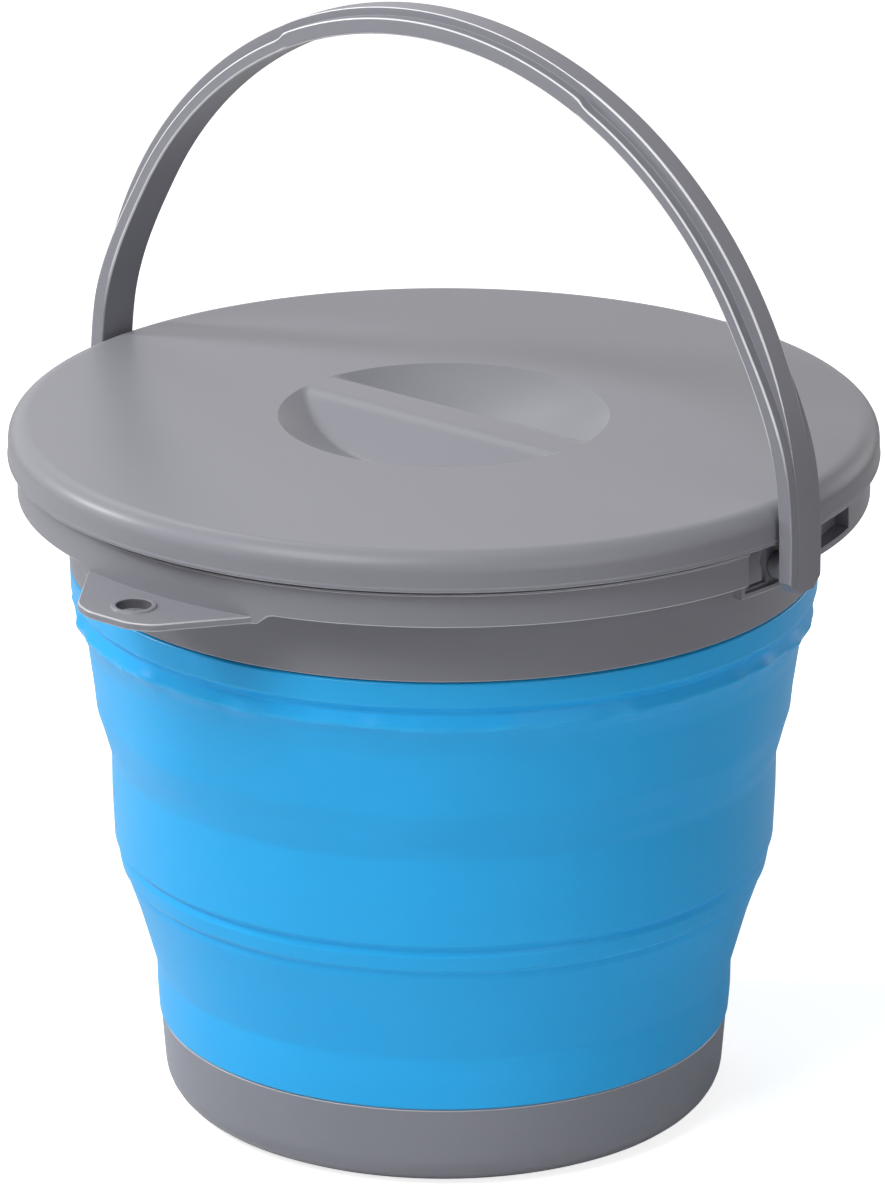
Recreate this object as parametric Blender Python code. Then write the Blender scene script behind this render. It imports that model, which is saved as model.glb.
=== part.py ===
# Folding camp bucket: a pan, a wall that folds down in rings, a rim, a lid and a bail handle.
# Lengths are in metres. The bucket stands on z = 0 with its own axis on the Z axis, the bail's
# pivots lie along X, and the hanging tab points to -Y.

import math

import bmesh
import bpy

# How finely round shapes are cut
ROUND_SEGMENTS = 64
BEND_STEPS = 4

# Clearances
MOULDED_GAP = 0.0003
RUNNING_GAP = 0.0004
LID_SEAT_GAP = 0.0003
LID_SIDE_GAP = 0.0011
LEG_TO_LID_GAP = 0.0032

# Pan
PAN_HEIGHT = 0.0314
PAN_RADIUS = 0.1032
PAN_DRAFT = 0.0020
PAN_BEND = 0.0110
PAN_FLOOR = 0.0030

# Walls of the moulded pieces
SHELL_WALL = 0.0026
RING_WALL = 0.0026
FOLD_WALL = 0.0012
TONGUE_WALL = 0.0011
TONGUE_LENGTH = 0.0060

# Folding wall, from the pan up
LOWER_CUFF_HEIGHT = 0.0206
LOWER_CUFF_DRAFT = 0.0009
LOWER_FOLD_HEIGHT = 0.0455
LOWER_FOLD_SHOULDER = 0.0020
MIDDLE_RING_STEP_OUT = 0.0144
MIDDLE_RING_DRAFT = 0.0012
MIDDLE_RING_HEIGHT = 0.0385
UPPER_FOLD_HEIGHT = 0.0540
UPPER_FOLD_SHOULDER = 0.0025
UPPER_FOLD_TUCK = 0.0053
HINGE_GROOVE_HEIGHT = 0.0060
TOP_CUFF_STEP_OUT = 0.0128
TOP_CUFF_HEIGHT = 0.0118

# Rim
COLLAR_HEIGHT = 0.0502
COLLAR_DRAFT = 0.0030
SKIRT_STAND_OFF = 0.0150
SKIRT_HEIGHT = 0.0240
SKIRT_WALL = 0.0022
RIM_EDGE_BEND = 0.0020

# Hanging tab
TAB_REACH = 0.0270
TAB_ROOT_HALF_WIDTH = 0.0380
TAB_TIP_HALF_WIDTH = 0.0130
TAB_CORNER = 0.0050
TAB_THICKNESS = 0.0028
TAB_DROP = 0.0038
TAB_DROP_SLOPE = 0.0060
TAB_HOLE_RADIUS = 0.0060
TAB_HOLE_SET_BACK = 0.0135
TAB_RING_WALL = 0.0016
TAB_RING_HEIGHT = 0.0007

# Pockets for the bail's pivots
POCKET_HALF_WIDTH = 0.0175
POCKET_WALL = 0.0018
POCKET_DEPTH = 0.0032
POCKET_BOSS_GAP = 0.0014
PIVOT_BELOW_RIM_TOP = 0.0205

# Lid
LID_THICKNESS = 0.0024
LID_WALL = 0.0021
LID_SIDE_HEIGHT = 0.0130
LID_EDGE_BEND = 0.0075
LID_LIP_FLARE = 0.0002
LID_DISH_DEPTH = 0.0020
LID_DISH_SLOPE = 0.0140

# Finger wells in the lid
WELL_RADIUS = 0.0585
WELL_DEPTH = 0.0160
WELL_FLOOR_RADIUS = 0.0290
GRIP_BAR_HALF_WIDTH = 0.0095
GRIP_BAR_SPREAD = 0.0240

# Bail handle
BAIL_STRAP_HALF_WIDTH = 0.0086
BAIL_STRAP_THICKNESS = 0.0044
BAIL_LEG_THICKNESS = 0.0040
BAIL_RIB_HALF_WIDTH = 0.0045
BAIL_RIB_HEIGHT = 0.0046
BAIL_RIB_FADE_START = 0.0320
BAIL_RIB_FADE_LENGTH = 0.0750
BAIL_LEG_RISE = 0.0086
BAIL_FOOT_DROP = 0.0070
BAIL_FOOT_CHAMFER = 0.0042
BAIL_PAD_RELIEF = 0.00025
BAIL_ARCH_STEPS = 36
GRIP_HALF_LENGTH = 0.0680
GRIP_EXTRA = 0.0014
GRIP_STEP_LENGTH = 0.0030

# Snap pivots of the bail
STUD_RADIUS = 0.0040
BOSS_RADIUS = 0.0050
STUD_HEAD_LENGTH = 0.0020
STUD_HEAD_OVERHANG = 0.0009
STUD_SEGMENTS = 24

# Colours and finish, as base colour, roughness and metallic value
GREY_PLASTIC = ((0.205, 0.205, 0.225, 1.0), 0.46, 0.0)
BLUE_RUBBER = ((0.020, 0.270, 0.720, 1.0), 0.50, 0.0)

# Heights of the stack
PAN_TOP = PAN_HEIGHT
LOWER_CUFF_TOP = PAN_TOP + LOWER_CUFF_HEIGHT
RING_BOTTOM = LOWER_CUFF_TOP + LOWER_FOLD_HEIGHT
RING_TOP = RING_BOTTOM + MIDDLE_RING_HEIGHT
TOP_CUFF_BOTTOM = RING_TOP + UPPER_FOLD_HEIGHT
COLLAR_BOTTOM = TOP_CUFF_BOTTOM + TOP_CUFF_HEIGHT
RIM_TOP = COLLAR_BOTTOM + COLLAR_HEIGHT
SKIRT_BOTTOM = RIM_TOP - SKIRT_HEIGHT
PIVOT_HEIGHT = RIM_TOP - PIVOT_BELOW_RIM_TOP
LID_UNDERSIDE = RIM_TOP + LID_SEAT_GAP
LID_TOP = LID_UNDERSIDE + LID_THICKNESS

# Radii that follow from the ones above
LOWER_CUFF_RADIUS = PAN_RADIUS + LOWER_CUFF_DRAFT
MIDDLE_RING_RADIUS = LOWER_CUFF_RADIUS + MIDDLE_RING_STEP_OUT
MIDDLE_RING_TOP_RADIUS = MIDDLE_RING_RADIUS + MIDDLE_RING_DRAFT
TOP_CUFF_RADIUS = MIDDLE_RING_TOP_RADIUS + TOP_CUFF_STEP_OUT
COLLAR_TOP_RADIUS = TOP_CUFF_RADIUS + COLLAR_DRAFT
SKIRT_RADIUS = COLLAR_TOP_RADIUS + SKIRT_STAND_OFF
LID_INNER_RADIUS = SKIRT_RADIUS + LID_SIDE_GAP
LID_RADIUS = LID_INNER_RADIUS + LID_WALL
LID_LIP_RADIUS = LID_RADIUS + LID_LIP_FLARE
BAIL_INNER_HALF_SPAN = LID_LIP_RADIUS + LEG_TO_LID_GAP
BAIL_HALF_SPAN = BAIL_INNER_HALF_SPAN + BAIL_LEG_THICKNESS
POCKET_BACK = SKIRT_RADIUS - POCKET_DEPTH


def clear_scene():
    for leftover in list(bpy.data.objects):
        bpy.data.objects.remove(leftover, do_unlink=True)


def plastic(name, finish):
    colour, roughness, metallic = finish
    made = bpy.data.materials.new(name)
    made.use_nodes = True
    shader = made.node_tree.nodes["Principled BSDF"]
    shader.inputs["Base Color"].default_value = colour
    shader.inputs["Roughness"].default_value = roughness
    shader.inputs["Metallic"].default_value = metallic
    made.diffuse_color = colour
    return made


def rounded_outline(corners):
    """Turn (radius, height, bend) corners into points, each bend as a tangent arc."""
    points = []
    count = len(corners)
    for index, (x, z, bend) in enumerate(corners):
        if bend == 0.0:
            points.append((x, z))
            continue
        before = corners[index - 1]
        after = corners[(index + 1) % count]
        to_before = (before[0] - x, before[1] - z)
        to_after = (after[0] - x, after[1] - z)
        length_before = math.hypot(*to_before)
        length_after = math.hypot(*to_after)
        to_before = (to_before[0] / length_before, to_before[1] / length_before)
        to_after = (to_after[0] / length_after, to_after[1] / length_after)
        cosine = to_before[0] * to_after[0] + to_before[1] * to_after[1]
        half_angle = math.acos(max(-1.0, min(1.0, cosine))) / 2
        setback = bend / math.tan(half_angle)
        bisector = (to_before[0] + to_after[0], to_before[1] + to_after[1])
        bisector_length = math.hypot(*bisector)
        reach = bend / math.sin(half_angle)
        centre_x = x + bisector[0] / bisector_length * reach
        centre_z = z + bisector[1] / bisector_length * reach
        start = math.atan2(z + to_before[1] * setback - centre_z, x + to_before[0] * setback - centre_x)
        end = math.atan2(z + to_after[1] * setback - centre_z, x + to_after[0] * setback - centre_x)
        sweep = (end - start + math.pi) % (2 * math.pi) - math.pi
        for step in range(BEND_STEPS + 1):
            angle = start + sweep * step / BEND_STEPS
            points.append((centre_x + bend * math.cos(angle), centre_z + bend * math.sin(angle)))
    return points


def object_from(name, work, finish):
    """Close a bmesh into an object with outward faces, smooth shading and its own material."""
    bmesh.ops.remove_doubles(work, verts=work.verts[:], dist=0.000002)
    bmesh.ops.recalc_face_normals(work, faces=work.faces[:])
    mesh = bpy.data.meshes.new(name)
    work.to_mesh(mesh)
    work.free()
    made = bpy.data.objects.new(name, mesh)
    bpy.context.scene.collection.objects.link(made)
    if finish is not None:
        mesh.materials.append(finish)
    mesh.shade_smooth()
    mesh.set_sharp_from_angle(angle=math.radians(30))
    return made


def revolved(name, corners, finish, segments=ROUND_SEGMENTS):
    """Spin a closed outline of (radius, height, bend) corners round the Z axis."""
    work = bmesh.new()
    ring = [work.verts.new((x, 0.0, z)) for x, z in rounded_outline(corners)]
    edges = [work.edges.new((ring[i - 1], ring[i])) for i in range(len(ring))]
    on_axis = [edge for edge in edges if all(abs(v.co.x) < 1e-9 for v in edge.verts)]
    for edge in on_axis:
        work.edges.remove(edge)
        edges.remove(edge)
    bmesh.ops.spin(
        work,
        geom=ring + edges,
        cent=(0.0, 0.0, 0.0),
        axis=(0.0, 0.0, 1.0),
        angle=2 * math.pi,
        steps=segments,
        use_merge=True,
    )
    return object_from(name, work, finish)


def box(name, low, high):
    work = bmesh.new()
    bmesh.ops.create_cube(work, size=1.0)
    for vert in work.verts:
        for axis in range(3):
            vert.co[axis] = low[axis] if vert.co[axis] < 0 else high[axis]
    return object_from(name, work, None)


def prism(name, outline, low, high):
    """Extrude a flat (x, y) outline from one height to another."""
    work = bmesh.new()
    floor = [work.verts.new((x, y, low)) for x, y in outline]
    face = work.faces.new(floor)
    grown = bmesh.ops.extrude_face_region(work, geom=[face])
    for item in grown["geom"]:
        if isinstance(item, bmesh.types.BMVert):
            item.co.z = high
    return object_from(name, work, None)


def rod(name, profile, centre, side, segments=STUD_SEGMENTS):
    """Spin (distance along X, radius) points round a line parallel to X; side is +1 or -1."""
    work = bmesh.new()
    outline = [(profile[0][0], 0.0)] + list(profile) + [(profile[-1][0], 0.0)]
    verts = [work.verts.new((side * x, 0.0, r)) for x, r in outline]
    edges = [work.edges.new((verts[i], verts[i + 1])) for i in range(len(verts) - 1)]
    bmesh.ops.spin(
        work,
        geom=verts + edges,
        cent=(0.0, 0.0, 0.0),
        axis=(1.0, 0.0, 0.0),
        angle=2 * math.pi,
        steps=segments,
        use_merge=True,
    )
    bmesh.ops.translate(work, verts=work.verts[:], vec=centre)
    return object_from(name, work, None)


def combine(target, tool, operation):
    """Join or cut with another solid, which is used up."""
    step = target.modifiers.new(operation.lower(), "BOOLEAN")
    step.operation = operation
    step.solver = "EXACT"
    step.object = tool
    with bpy.context.temp_override(object=target, active_object=target, selected_objects=[target]):
        bpy.ops.object.modifier_apply(modifier=step.name)
    bpy.data.objects.remove(tool, do_unlink=True)
    work = bmesh.new()
    work.from_mesh(target.data)
    bmesh.ops.remove_doubles(work, verts=work.verts[:], dist=0.000002)
    bmesh.ops.dissolve_degenerate(work, edges=work.edges[:], dist=0.000002)
    bmesh.ops.recalc_face_normals(work, faces=work.faces[:])
    work.to_mesh(target.data)
    work.free()
    target.data.shade_smooth()
    target.data.set_sharp_from_angle(angle=math.radians(30))


def place_origin(made, height, carrier):
    """Put an object's origin on the bucket's axis at a height, and hang it on its carrier."""
    for vert in made.data.vertices:
        vert.co.z -= height
    carrier_height = carrier.matrix_world.translation.z if carrier else 0.0
    made.parent = carrier
    made.location = (0.0, 0.0, height - carrier_height)
    bpy.context.view_layer.update()


def make_pan(finish):
    """Floor and low wall, with a thin tongue that the wall's lower cuff is moulded round."""
    inner = PAN_RADIUS - SHELL_WALL
    tongue = inner + TONGUE_WALL
    return revolved("pan", [
        (0.0, 0.0, 0.0),
        (PAN_RADIUS - PAN_DRAFT, 0.0, PAN_BEND),
        (PAN_RADIUS, PAN_TOP, 0.0),
        (tongue, PAN_TOP, 0.0),
        (tongue, PAN_TOP + TONGUE_LENGTH, 0.0),
        (inner, PAN_TOP + TONGUE_LENGTH, 0.0),
        (inner - PAN_DRAFT, PAN_FLOOR, PAN_BEND - SHELL_WALL),
        (0.0, PAN_FLOOR, 0.0),
    ], finish)


def make_lower_cuff(finish):
    """Stiff bottom band of the wall, seated on the pan's edge round its tongue."""
    seat = PAN_TOP + MOULDED_GAP
    behind_tongue = PAN_RADIUS - SHELL_WALL + TONGUE_WALL + MOULDED_GAP
    tongue_end = PAN_TOP + TONGUE_LENGTH + MOULDED_GAP
    return revolved("wall_lower_cuff", [
        (PAN_RADIUS, seat, 0.0),
        (LOWER_CUFF_RADIUS, LOWER_CUFF_TOP, 0.0),
        (LOWER_CUFF_RADIUS - RING_WALL, LOWER_CUFF_TOP, 0.0),
        (PAN_RADIUS - SHELL_WALL, tongue_end, 0.0),
        (behind_tongue, tongue_end, 0.0),
        (behind_tongue, seat, 0.0),
    ], finish)


def fold_outline(points):
    """Give a line of (radius, height) points the thickness of the thin wall."""
    inside = [(radius - FOLD_WALL, height, 0.0) for radius, height in reversed(points)]
    return [(radius, height, 0.0) for radius, height in points] + inside


def make_lower_fold(finish):
    """Thin sloping band between the lower cuff and the middle ring, with its hinge groove."""
    start = LOWER_CUFF_RADIUS - (RING_WALL - FOLD_WALL) / 2
    end = MIDDLE_RING_RADIUS - (RING_WALL - FOLD_WALL) / 2
    low = LOWER_CUFF_TOP + MOULDED_GAP
    high = RING_BOTTOM - MOULDED_GAP
    return revolved("wall_lower_fold", fold_outline([
        (start, low),
        (start + LOWER_FOLD_SHOULDER, low + HINGE_GROOVE_HEIGHT / 2),
        (end - LOWER_FOLD_SHOULDER, high - 2 * HINGE_GROOVE_HEIGHT),
        (end - LOWER_FOLD_SHOULDER / 2, high - HINGE_GROOVE_HEIGHT),
        (end - LOWER_FOLD_SHOULDER, high - HINGE_GROOVE_HEIGHT / 2),
        (end, high),
    ]), finish)


def make_middle_ring(finish):
    """Stiff ring in the middle of the wall."""
    return revolved("wall_middle_ring", [
        (MIDDLE_RING_RADIUS, RING_BOTTOM, 0.0),
        (MIDDLE_RING_TOP_RADIUS, RING_TOP, 0.0),
        (MIDDLE_RING_TOP_RADIUS - RING_WALL, RING_TOP, 0.0),
        (MIDDLE_RING_RADIUS - RING_WALL, RING_BOTTOM, 0.0),
    ], finish)


def make_upper_fold(finish):
    """Thin band between the middle ring and the top cuff, with its hinge groove."""
    start = MIDDLE_RING_TOP_RADIUS - (RING_WALL - FOLD_WALL) / 2
    end = TOP_CUFF_RADIUS - (RING_WALL - FOLD_WALL) / 2
    low = RING_TOP + MOULDED_GAP
    high = TOP_CUFF_BOTTOM - MOULDED_GAP
    band = start + UPPER_FOLD_SHOULDER
    return revolved("wall_upper_fold", fold_outline([
        (start, low),
        (band, low + HINGE_GROOVE_HEIGHT / 2),
        (end - UPPER_FOLD_TUCK, high - 2 * HINGE_GROOVE_HEIGHT),
        (end - UPPER_FOLD_TUCK, high - HINGE_GROOVE_HEIGHT),
        (end, high),
    ]), finish)


def make_top_cuff(finish):
    """Stiff top band of the wall, moulded round the collar's tongue."""
    seat = COLLAR_BOTTOM - MOULDED_GAP
    behind_tongue = TOP_CUFF_RADIUS - SHELL_WALL + TONGUE_WALL + MOULDED_GAP
    tongue_end = COLLAR_BOTTOM - TONGUE_LENGTH - MOULDED_GAP
    return revolved("wall_top_cuff", [
        (TOP_CUFF_RADIUS, TOP_CUFF_BOTTOM, 0.0),
        (TOP_CUFF_RADIUS, seat, 0.0),
        (behind_tongue, seat, 0.0),
        (behind_tongue, tongue_end, 0.0),
        (TOP_CUFF_RADIUS - RING_WALL, tongue_end, 0.0),
        (TOP_CUFF_RADIUS - RING_WALL, TOP_CUFF_BOTTOM, 0.0),
    ], finish)


def skirt_point(radius, angle):
    """A point at a radius of the skirt, moved onto the flat between two of its edges."""
    step = 2 * math.pi / ROUND_SEGMENTS
    off_middle = angle % step - step / 2
    flat = radius * math.cos(step / 2) / math.cos(off_middle)
    return flat * math.cos(angle), flat * math.sin(angle)


def skirt_arc(radius, start, end):
    """Points along the faceted skirt from one angle to another, its edges among them."""
    step = 2 * math.pi / ROUND_SEGMENTS
    first = math.floor(start / step + 1e-6) + 1
    last = math.ceil(end / step - 1e-6) - 1
    angles = [start] + [index * step for index in range(first, last + 1)] + [end]
    return [skirt_point(radius, angle) for angle in angles]


def on_front_skirt_edge(vert):
    return vert.co.y < 0 and abs(vert.co.z - SKIRT_BOTTOM) < 0.00001


def lower_skirt_at_tab(rim):
    """Draw the skirt's bottom edge down along the tab's root, with a slope at either end."""
    slope_end = TAB_ROOT_HALF_WIDTH + TAB_DROP_SLOPE
    work = bmesh.new()
    work.from_mesh(rim.data)
    for cut_x in (-slope_end, -TAB_ROOT_HALF_WIDTH, TAB_ROOT_HALF_WIDTH, slope_end):
        faces = [face for face in work.faces if any(map(on_front_skirt_edge, face.verts))]
        around = {item for face in faces for item in (*face.verts, *face.edges)}
        bmesh.ops.bisect_plane(
            work,
            geom=faces + list(around),
            dist=0.000002,
            plane_co=(cut_x, 0.0, 0.0),
            plane_no=(1.0, 0.0, 0.0),
        )
    for vert in filter(on_front_skirt_edge, work.verts):
        share = (slope_end - abs(vert.co.x)) / TAB_DROP_SLOPE
        vert.co.z -= TAB_DROP * max(0.0, min(1.0, share))
    work.to_mesh(rim.data)
    work.free()


def add_tab(rim):
    """A flat tab with a ringed hole, carried by the lowered stretch of the skirt."""
    floor = SKIRT_BOTTOM - TAB_DROP
    plate_top = floor + TAB_THICKNESS
    facing = -math.pi / 2
    root_radius = SKIRT_RADIUS - SKIRT_WALL / 2
    half_angle = math.asin(TAB_ROOT_HALF_WIDTH / root_radius)
    tip = -(SKIRT_RADIUS + TAB_REACH)
    root = skirt_arc(root_radius, facing - half_angle, facing + half_angle)
    left = [(-TAB_TIP_HALF_WIDTH - TAB_CORNER, tip + TAB_CORNER), (-TAB_TIP_HALF_WIDTH, tip)]
    right = [(TAB_TIP_HALF_WIDTH, tip), (TAB_TIP_HALF_WIDTH + TAB_CORNER, tip + TAB_CORNER)]
    combine(rim, prism("tab_plate", root[::-1] + left + right, floor, plate_top), "UNION")

    hole_y = tip + TAB_HOLE_SET_BACK
    ring = revolved("tab_ring", [
        (0.0, floor + TAB_THICKNESS / 2, 0.0),
        (TAB_HOLE_RADIUS + TAB_RING_WALL, floor + TAB_THICKNESS / 2, 0.0),
        (TAB_HOLE_RADIUS + TAB_RING_WALL, plate_top + TAB_RING_HEIGHT, 0.0),
        (0.0, plate_top + TAB_RING_HEIGHT, 0.0),
    ], None, STUD_SEGMENTS)
    ring.location.y = hole_y
    bpy.context.view_layer.update()
    combine(rim, ring, "UNION")
    hole = revolved("tab_hole", [
        (0.0, floor - TAB_THICKNESS, 0.0),
        (TAB_HOLE_RADIUS, floor - TAB_THICKNESS, 0.0),
        (TAB_HOLE_RADIUS, plate_top + TAB_THICKNESS, 0.0),
        (0.0, plate_top + TAB_THICKNESS, 0.0),
    ], None, STUD_SEGMENTS)
    hole.location.y = hole_y
    bpy.context.view_layer.update()
    combine(rim, hole, "DIFFERENCE")


def add_pocket(rim, side):
    """A recess in the skirt with a back wall, two cheeks and a floor, and the stud's hole."""
    back = POCKET_BACK
    floor = PIVOT_HEIGHT - BOSS_RADIUS - POCKET_BOSS_GAP - POCKET_WALL
    cheek = POCKET_HALF_WIDTH + POCKET_WALL
    front = math.sqrt(SKIRT_RADIUS ** 2 - cheek ** 2)
    ceiling = RIM_TOP - SKIRT_WALL
    across = sorted((side * (back - POCKET_WALL), side * front))
    block = box("pocket_block", (across[0], -cheek, floor), (across[1], cheek, ceiling + SKIRT_WALL / 2))
    combine(rim, block, "UNION")
    across = sorted((side * back, side * (SKIRT_RADIUS + POCKET_DEPTH)))
    room = box("pocket_room", (across[0], -POCKET_HALF_WIDTH, floor + POCKET_WALL),
               (across[1], POCKET_HALF_WIDTH, ceiling))
    combine(rim, room, "DIFFERENCE")
    bore = STUD_RADIUS + RUNNING_GAP
    through = [(back - 2 * POCKET_WALL, bore), (back + POCKET_WALL, bore)]
    combine(rim, rod("stud_hole", through, (0.0, 0.0, PIVOT_HEIGHT), side), "DIFFERENCE")


def make_rim(finish):
    """Collar, top flange and skirt in one moulding, with the tab and the two pivot pockets."""
    collar_inner = TOP_CUFF_RADIUS - SHELL_WALL
    tongue = collar_inner + TONGUE_WALL
    skirt_inner = SKIRT_RADIUS - SKIRT_WALL
    under_flange = RIM_TOP - SKIRT_WALL
    rim = revolved("rim", [
        (collar_inner, COLLAR_BOTTOM - TONGUE_LENGTH, 0.0),
        (tongue, COLLAR_BOTTOM - TONGUE_LENGTH, 0.0),
        (tongue, COLLAR_BOTTOM, 0.0),
        (TOP_CUFF_RADIUS, COLLAR_BOTTOM, 0.0),
        (COLLAR_TOP_RADIUS, under_flange, 0.0),
        (skirt_inner, under_flange, 0.0),
        (skirt_inner, SKIRT_BOTTOM, 0.0),
        (SKIRT_RADIUS, SKIRT_BOTTOM, 0.0),
        (SKIRT_RADIUS, RIM_TOP, RIM_EDGE_BEND),
        (COLLAR_TOP_RADIUS - SHELL_WALL, RIM_TOP, RIM_EDGE_BEND),
    ], finish)
    lower_skirt_at_tab(rim)
    add_tab(rim)
    for side in (1, -1):
        add_pocket(rim, side)
    return rim


def well_bowl(name, grow, top):
    """The round hollow that both finger wells share, or the same grown by a wall."""
    floor = LID_TOP - LID_DISH_DEPTH - WELL_DEPTH - grow
    return revolved(name, [
        (0.0, floor, 0.0),
        (WELL_FLOOR_RADIUS + grow, floor, 0.0),
        ((WELL_FLOOR_RADIUS + WELL_RADIUS) / 2 + grow, floor + WELL_DEPTH * 0.3, 0.0),
        (WELL_RADIUS + grow, LID_TOP - LID_DISH_DEPTH, 0.0),
        (WELL_RADIUS + grow, top, 0.0),
        (0.0, top, 0.0),
    ], None)


def grip_bar(name, shrink, low, high):
    """The sloping-sided bar across the wells, or the same shrunk to the hollow under it."""
    work = bmesh.new()
    top = LID_TOP - LID_DISH_DEPTH
    reach = WELL_RADIUS + WELL_DEPTH

    def half_width(height):
        return GRIP_BAR_HALF_WIDTH + GRIP_BAR_SPREAD * (top - height) / WELL_DEPTH - shrink

    wide = half_width(low)
    narrow = half_width(high)
    corners = [(-wide, low), (wide, low), (narrow, high), (-narrow, high)]
    ends = [[work.verts.new((x, y, z)) for y, z in corners] for x in (-reach, reach)]
    work.faces.new(ends[0])
    work.faces.new(ends[1][::-1])
    for i in range(4):
        work.faces.new((ends[0][i - 1], ends[0][i], ends[1][i], ends[1][i - 1]))
    return object_from(name, work, None)


def make_lid(finish):
    """Shallow lid over the rim, with two finger wells on either side of a grip bar."""
    centre_top = LID_TOP - LID_DISH_DEPTH
    centre_under = LID_UNDERSIDE - LID_DISH_DEPTH
    lip = LID_TOP - LID_SIDE_HEIGHT
    dish_edge = TOP_CUFF_RADIUS - SHELL_WALL - LID_SIDE_GAP
    lid = revolved("lid", [
        (0.0, centre_under, 0.0),
        (dish_edge - LID_DISH_SLOPE, centre_under, 0.0),
        (dish_edge, LID_UNDERSIDE, 0.0),
        (LID_INNER_RADIUS, LID_UNDERSIDE, LID_THICKNESS / 2),
        (LID_INNER_RADIUS, lip, 0.0),
        (LID_LIP_RADIUS, lip, 0.0),
        (LID_RADIUS, LID_TOP, LID_EDGE_BEND),
        (dish_edge, LID_TOP, 0.0),
        (dish_edge - LID_DISH_SLOPE, centre_top, 0.0),
        (0.0, centre_top, 0.0),
    ], finish)
    shell = well_bowl("well_shell", LID_THICKNESS, (centre_top + centre_under) / 2)
    hollow_top = centre_under - MOULDED_GAP
    far_below = centre_top - WELL_DEPTH - 2 * LID_THICKNESS
    shrink = LID_THICKNESS * GRIP_BAR_SPREAD / WELL_DEPTH
    combine(shell, grip_bar("bar_hollow", shrink, far_below, hollow_top), "DIFFERENCE")
    combine(lid, shell, "UNION")
    hollow = well_bowl("well_hollow", 0.0, centre_top + LID_THICKNESS)
    combine(hollow, grip_bar("bar_solid", 0.0, far_below, centre_top + 2 * LID_THICKNESS), "DIFFERENCE")
    combine(lid, hollow, "DIFFERENCE")
    return lid


def bail_stations():
    """Places along the bail as (x, z, outward x, outward z, distance from the pivot line)."""
    arch_centre = PIVOT_HEIGHT + BAIL_LEG_RISE
    foot_end = PIVOT_HEIGHT - BAIL_FOOT_DROP
    leg = [foot_end, foot_end + BAIL_FOOT_CHAMFER, PIVOT_HEIGHT]
    right = [(BAIL_HALF_SPAN, z, 1.0, 0.0) for z in leg]
    grip_angle = math.acos(GRIP_HALF_LENGTH / BAIL_HALF_SPAN)
    step_angle = GRIP_STEP_LENGTH / BAIL_HALF_SPAN
    angles = [math.pi * index / BAIL_ARCH_STEPS for index in range(BAIL_ARCH_STEPS + 1)]
    ends = [grip_angle - step_angle / 2, grip_angle + step_angle / 2]
    ends += [math.pi - angle for angle in ends]
    angles = [a for a in angles if min(abs(a - end) for end in ends) > step_angle]
    arch = []
    for angle in sorted(angles + ends):
        out_x = math.cos(angle)
        out_z = math.sin(angle)
        arch.append((BAIL_HALF_SPAN * out_x, arch_centre + BAIL_HALF_SPAN * out_z, out_x, out_z))
    left = [(-x, z, -out_x, out_z) for x, z, out_x, out_z in reversed(right)]
    return right + arch + left


def bail_section(x, z):
    """Half width, rib half width, rib height and whole thickness of the bail at one place."""
    above_foot = z - (PIVOT_HEIGHT - BAIL_FOOT_DROP)
    half_width = BAIL_STRAP_HALF_WIDTH
    if above_foot < BAIL_FOOT_CHAMFER / 2:
        half_width = BAIL_STRAP_HALF_WIDTH - BAIL_FOOT_CHAMFER
    rise = z - PIVOT_HEIGHT
    share = (rise - BAIL_RIB_FADE_START) / BAIL_RIB_FADE_LENGTH
    share = max(0.0, min(1.0, share))
    share = share * share * (3 - 2 * share)
    rib = BAIL_PAD_RELIEF + (BAIL_RIB_HEIGHT - BAIL_PAD_RELIEF) * share
    strap = BAIL_LEG_THICKNESS - BAIL_PAD_RELIEF
    strap += (BAIL_STRAP_THICKNESS - strap) * share
    if abs(x) < GRIP_HALF_LENGTH and rise > 0:
        strap += GRIP_EXTRA
        rib -= GRIP_EXTRA
    rib_half = min(BAIL_RIB_HALF_WIDTH, half_width - BAIL_PAD_RELIEF)
    return half_width, rib_half, rib, rib + strap


def make_bail(finish):
    """Arched strap with a raised rib along its back, and a snap stud inside each foot."""
    work = bmesh.new()
    loops = []
    for x, z, out_x, out_z in bail_stations():
        half_width, rib_half, rib, thick = bail_section(x, z)
        hat = [
            (-half_width, thick), (half_width, thick), (half_width, rib), (rib_half, rib),
            (rib_half, 0.0), (-rib_half, 0.0), (-rib_half, rib), (-half_width, rib),
        ]
        loops.append([work.verts.new((x - out_x * deep, wide, z - out_z * deep)) for wide, deep in hat])
    for before, after in zip(loops, loops[1:]):
        for i in range(len(before)):
            work.faces.new((before[i - 1], before[i], after[i], after[i - 1]))
    work.faces.new(loops[0])
    work.faces.new(loops[-1][::-1])
    bail = object_from("bail_handle", work, finish)

    inner_face = BAIL_INNER_HALF_SPAN
    boss_face = POCKET_BACK + RUNNING_GAP
    behind_wall = POCKET_BACK - POCKET_WALL - RUNNING_GAP
    head = STUD_RADIUS + STUD_HEAD_OVERHANG
    profile = [
        (inner_face + BAIL_LEG_THICKNESS / 2, BOSS_RADIUS),
        (boss_face, BOSS_RADIUS),
        (boss_face, STUD_RADIUS),
        (behind_wall, STUD_RADIUS),
        (behind_wall, head),
        (behind_wall - STUD_HEAD_LENGTH, STUD_RADIUS - STUD_HEAD_OVERHANG),
    ]
    for side in (1, -1):
        combine(bail, rod("stud", profile, (0.0, 0.0, PIVOT_HEIGHT), side), "UNION")
    return bail


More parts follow.
